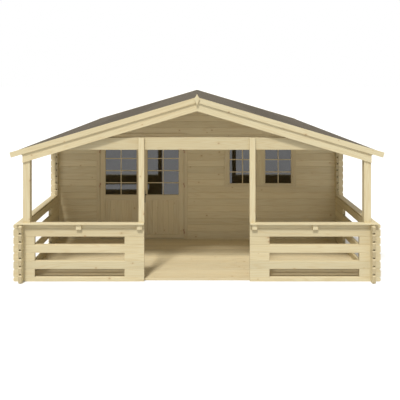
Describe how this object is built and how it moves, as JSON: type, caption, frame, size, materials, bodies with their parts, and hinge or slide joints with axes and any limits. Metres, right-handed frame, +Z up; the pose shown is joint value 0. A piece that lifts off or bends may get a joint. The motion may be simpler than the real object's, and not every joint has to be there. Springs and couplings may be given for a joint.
{
  "type": "log cabin",
  "caption": "Log cabin with a covered front veranda, slotted log balustrades, a glazed double door, a double window and a low gable roof.",
  "frame": {"origin": "on the ground, in the middle of the plan", "axes": "+X to the right seen from the front, +Y from the veranda to the back wall, +Z up"},
  "size_m": [5.2588, 7.12, 2.64],
  "materials": {
    "spruce_log": "planed, untreated",
    "spruce_board": "planed, untreated",
    "spruce_post": "planed, untreated",
    "floor_board": "planed boards, untreated",
    "joinery": "planed and sanded, untreated",
    "roof_felt": "bituminous felt with mineral grit",
    "window_glass": "clear",
    "hinge_steel": "zinc plated",
    "handle_black": "satin black"
  },
  "bodies": {
    "cabin": {"right_front_balustrade": "spruce_log", "left_front_balustrade": "spruce_log", "right_side_lower_logs": "spruce_log", "left_side_lower_logs": "spruce_log", "right_side_upper_logs": "spruce_log", "left_side_upper_logs": "spruce_log", "front_wall_left": "spruce_log", "front_wall_right": "spruce_log", "front_gable": "spruce_log", "back_wall": "spruce_log", "veranda_floor": "floor_board", "cabin_floor": "floor_board", "right_front_rail": "spruce_board", "left_front_rail": "spruce_board", "right_side_rail": "spruce_board", "left_side_rail": "spruce_board", "rail_brackets": "spruce_board", "right_inner_post": "spruce_post", "left_inner_post": "spruce_post", "right_outer_post": "spruce_post", "left_outer_post": "spruce_post", "veranda_beam": "spruce_post", "left_purlin": "spruce_post", "ridge_purlin": "spruce_post", "right_purlin": "spruce_post", "right_roof_boards": "spruce_board", "left_roof_boards": "spruce_board", "right_roof_felt": "roof_felt", "left_roof_felt": "roof_felt", "ridge_cap": "roof_felt", "right_front_barge_boards": "spruce_board", "left_front_barge_boards": "spruce_board", "right_back_barge_boards": "spruce_board", "left_back_barge_boards": "spruce_board", "ridge_ornament": "spruce_board", "door_frame": "joinery", "door_trim": "joinery", "frame_hinges": "hinge_steel", "window_frame": "joinery", "window_trim": "joinery", "window_sashes": "joinery", "window_glass": "window_glass"},
    "left_door": {"left_door_leaf": "joinery", "left_door_glass": "window_glass", "left_door_hinges": "hinge_steel"},
    "right_door": {"right_door_leaf": "joinery", "right_door_glass": "window_glass", "right_door_hinges": "hinge_steel", "door_handles": "handle_black"}
  },
  "joints": [
    {"name": "left_door_hinge", "type": "hinge", "parent": "cabin", "child": "left_door", "pos_m": [-1.7105, -1.4865, 0.985], "axis": [0, 0, -1], "range_deg": [0, 110]},
    {"name": "right_door_hinge", "type": "hinge", "parent": "cabin", "child": "right_door", "pos_m": [-0.2285, -1.4865, 0.985], "axis": [0, 0, 1], "range_deg": [0, 110]}
  ]
}
